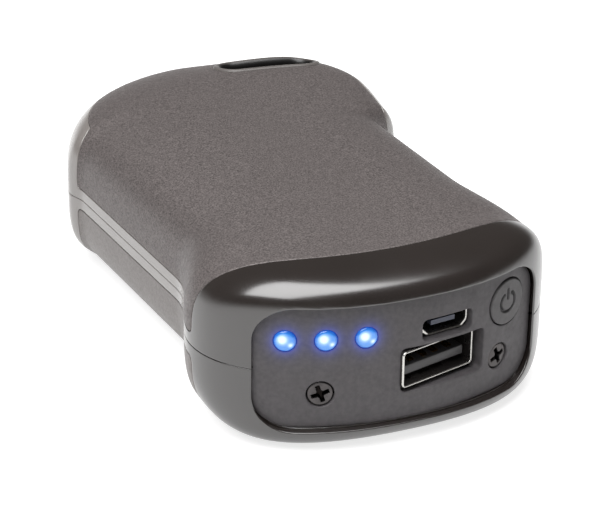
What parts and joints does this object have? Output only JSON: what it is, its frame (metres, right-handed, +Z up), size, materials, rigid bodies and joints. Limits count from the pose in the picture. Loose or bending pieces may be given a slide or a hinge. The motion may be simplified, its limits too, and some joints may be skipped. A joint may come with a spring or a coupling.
{
  "type": "rechargeable hand warmer",
  "caption": "Waisted rechargeable hand warmer with metal heat plates, a lanyard eye and an end panel with indicators, charging sockets and a push button.",
  "frame": {"origin": "centre of the bounding box at the underside's resting plane", "axes": "+Z up through the top heat plate, -Y out of the end panel, +Y towards the lanyard eye, +X to the right when the panel is seen from the front"},
  "size_m": [0.0539, 0.0996, 0.0264],
  "materials": {
    "shell": "glossy",
    "top_plate": "satin, speckled",
    "bottom_plate": "satin",
    "panel": "matte, fine texture",
    "button": "satin",
    "led": "clear blue, lit",
    "screw": "satin",
    "connector": "polished",
    "socket_plastic": "satin",
    "micro_plastic": "satin",
    "gold": "polished",
    "film": "satin",
    "board": "satin",
    "chip": "satin",
    "can": "satin",
    "cell": "satin sleeve",
    "cradle": "matte",
    "foam": "soft foam",
    "nickel": "satin",
    "red_wire": "satin",
    "black_wire": "satin",
    "bead": "satin"
  },
  "bodies": {
    "housing": {"top_shell": "shell", "bottom_shell": "shell", "top_heat_plate": "top_plate", "bottom_heat_plate": "bottom_plate", "top_heater_film": "film", "bottom_heater_film": "film", "end_panel": "panel", "panel_screws": "screw", "led_left": "led", "led_middle": "led", "led_right": "led", "usb_a_shell": "connector", "usb_a_tongue": "socket_plastic", "usb_a_contacts": "gold", "micro_usb_shell": "connector", "micro_usb_tongue": "micro_plastic", "switch_body": "chip", "circuit_board": "board", "power_inductor": "chip", "charge_chip": "chip", "output_capacitors": "can", "battery_cell_left": "cell", "battery_cell_right": "cell", "battery_cradle": "cradle", "foam_pad": "foam", "cell_tab_left": "nickel", "cell_tab_right": "nickel", "cell_bridge": "nickel", "battery_lead_positive": "red_wire", "battery_lead_negative": "black_wire", "temperature_sensor": "bead"},
    "button": {"power_button": "button", "switch_plunger": "cradle"}
  },
  "joints": [
    {"name": "power_press", "type": "slide", "parent": "housing", "child": "button", "axis": [-0.3938, 0.9192, 0], "range_m": [0, 0.0005], "stiffness_N_per_m": 1200}
  ]
}
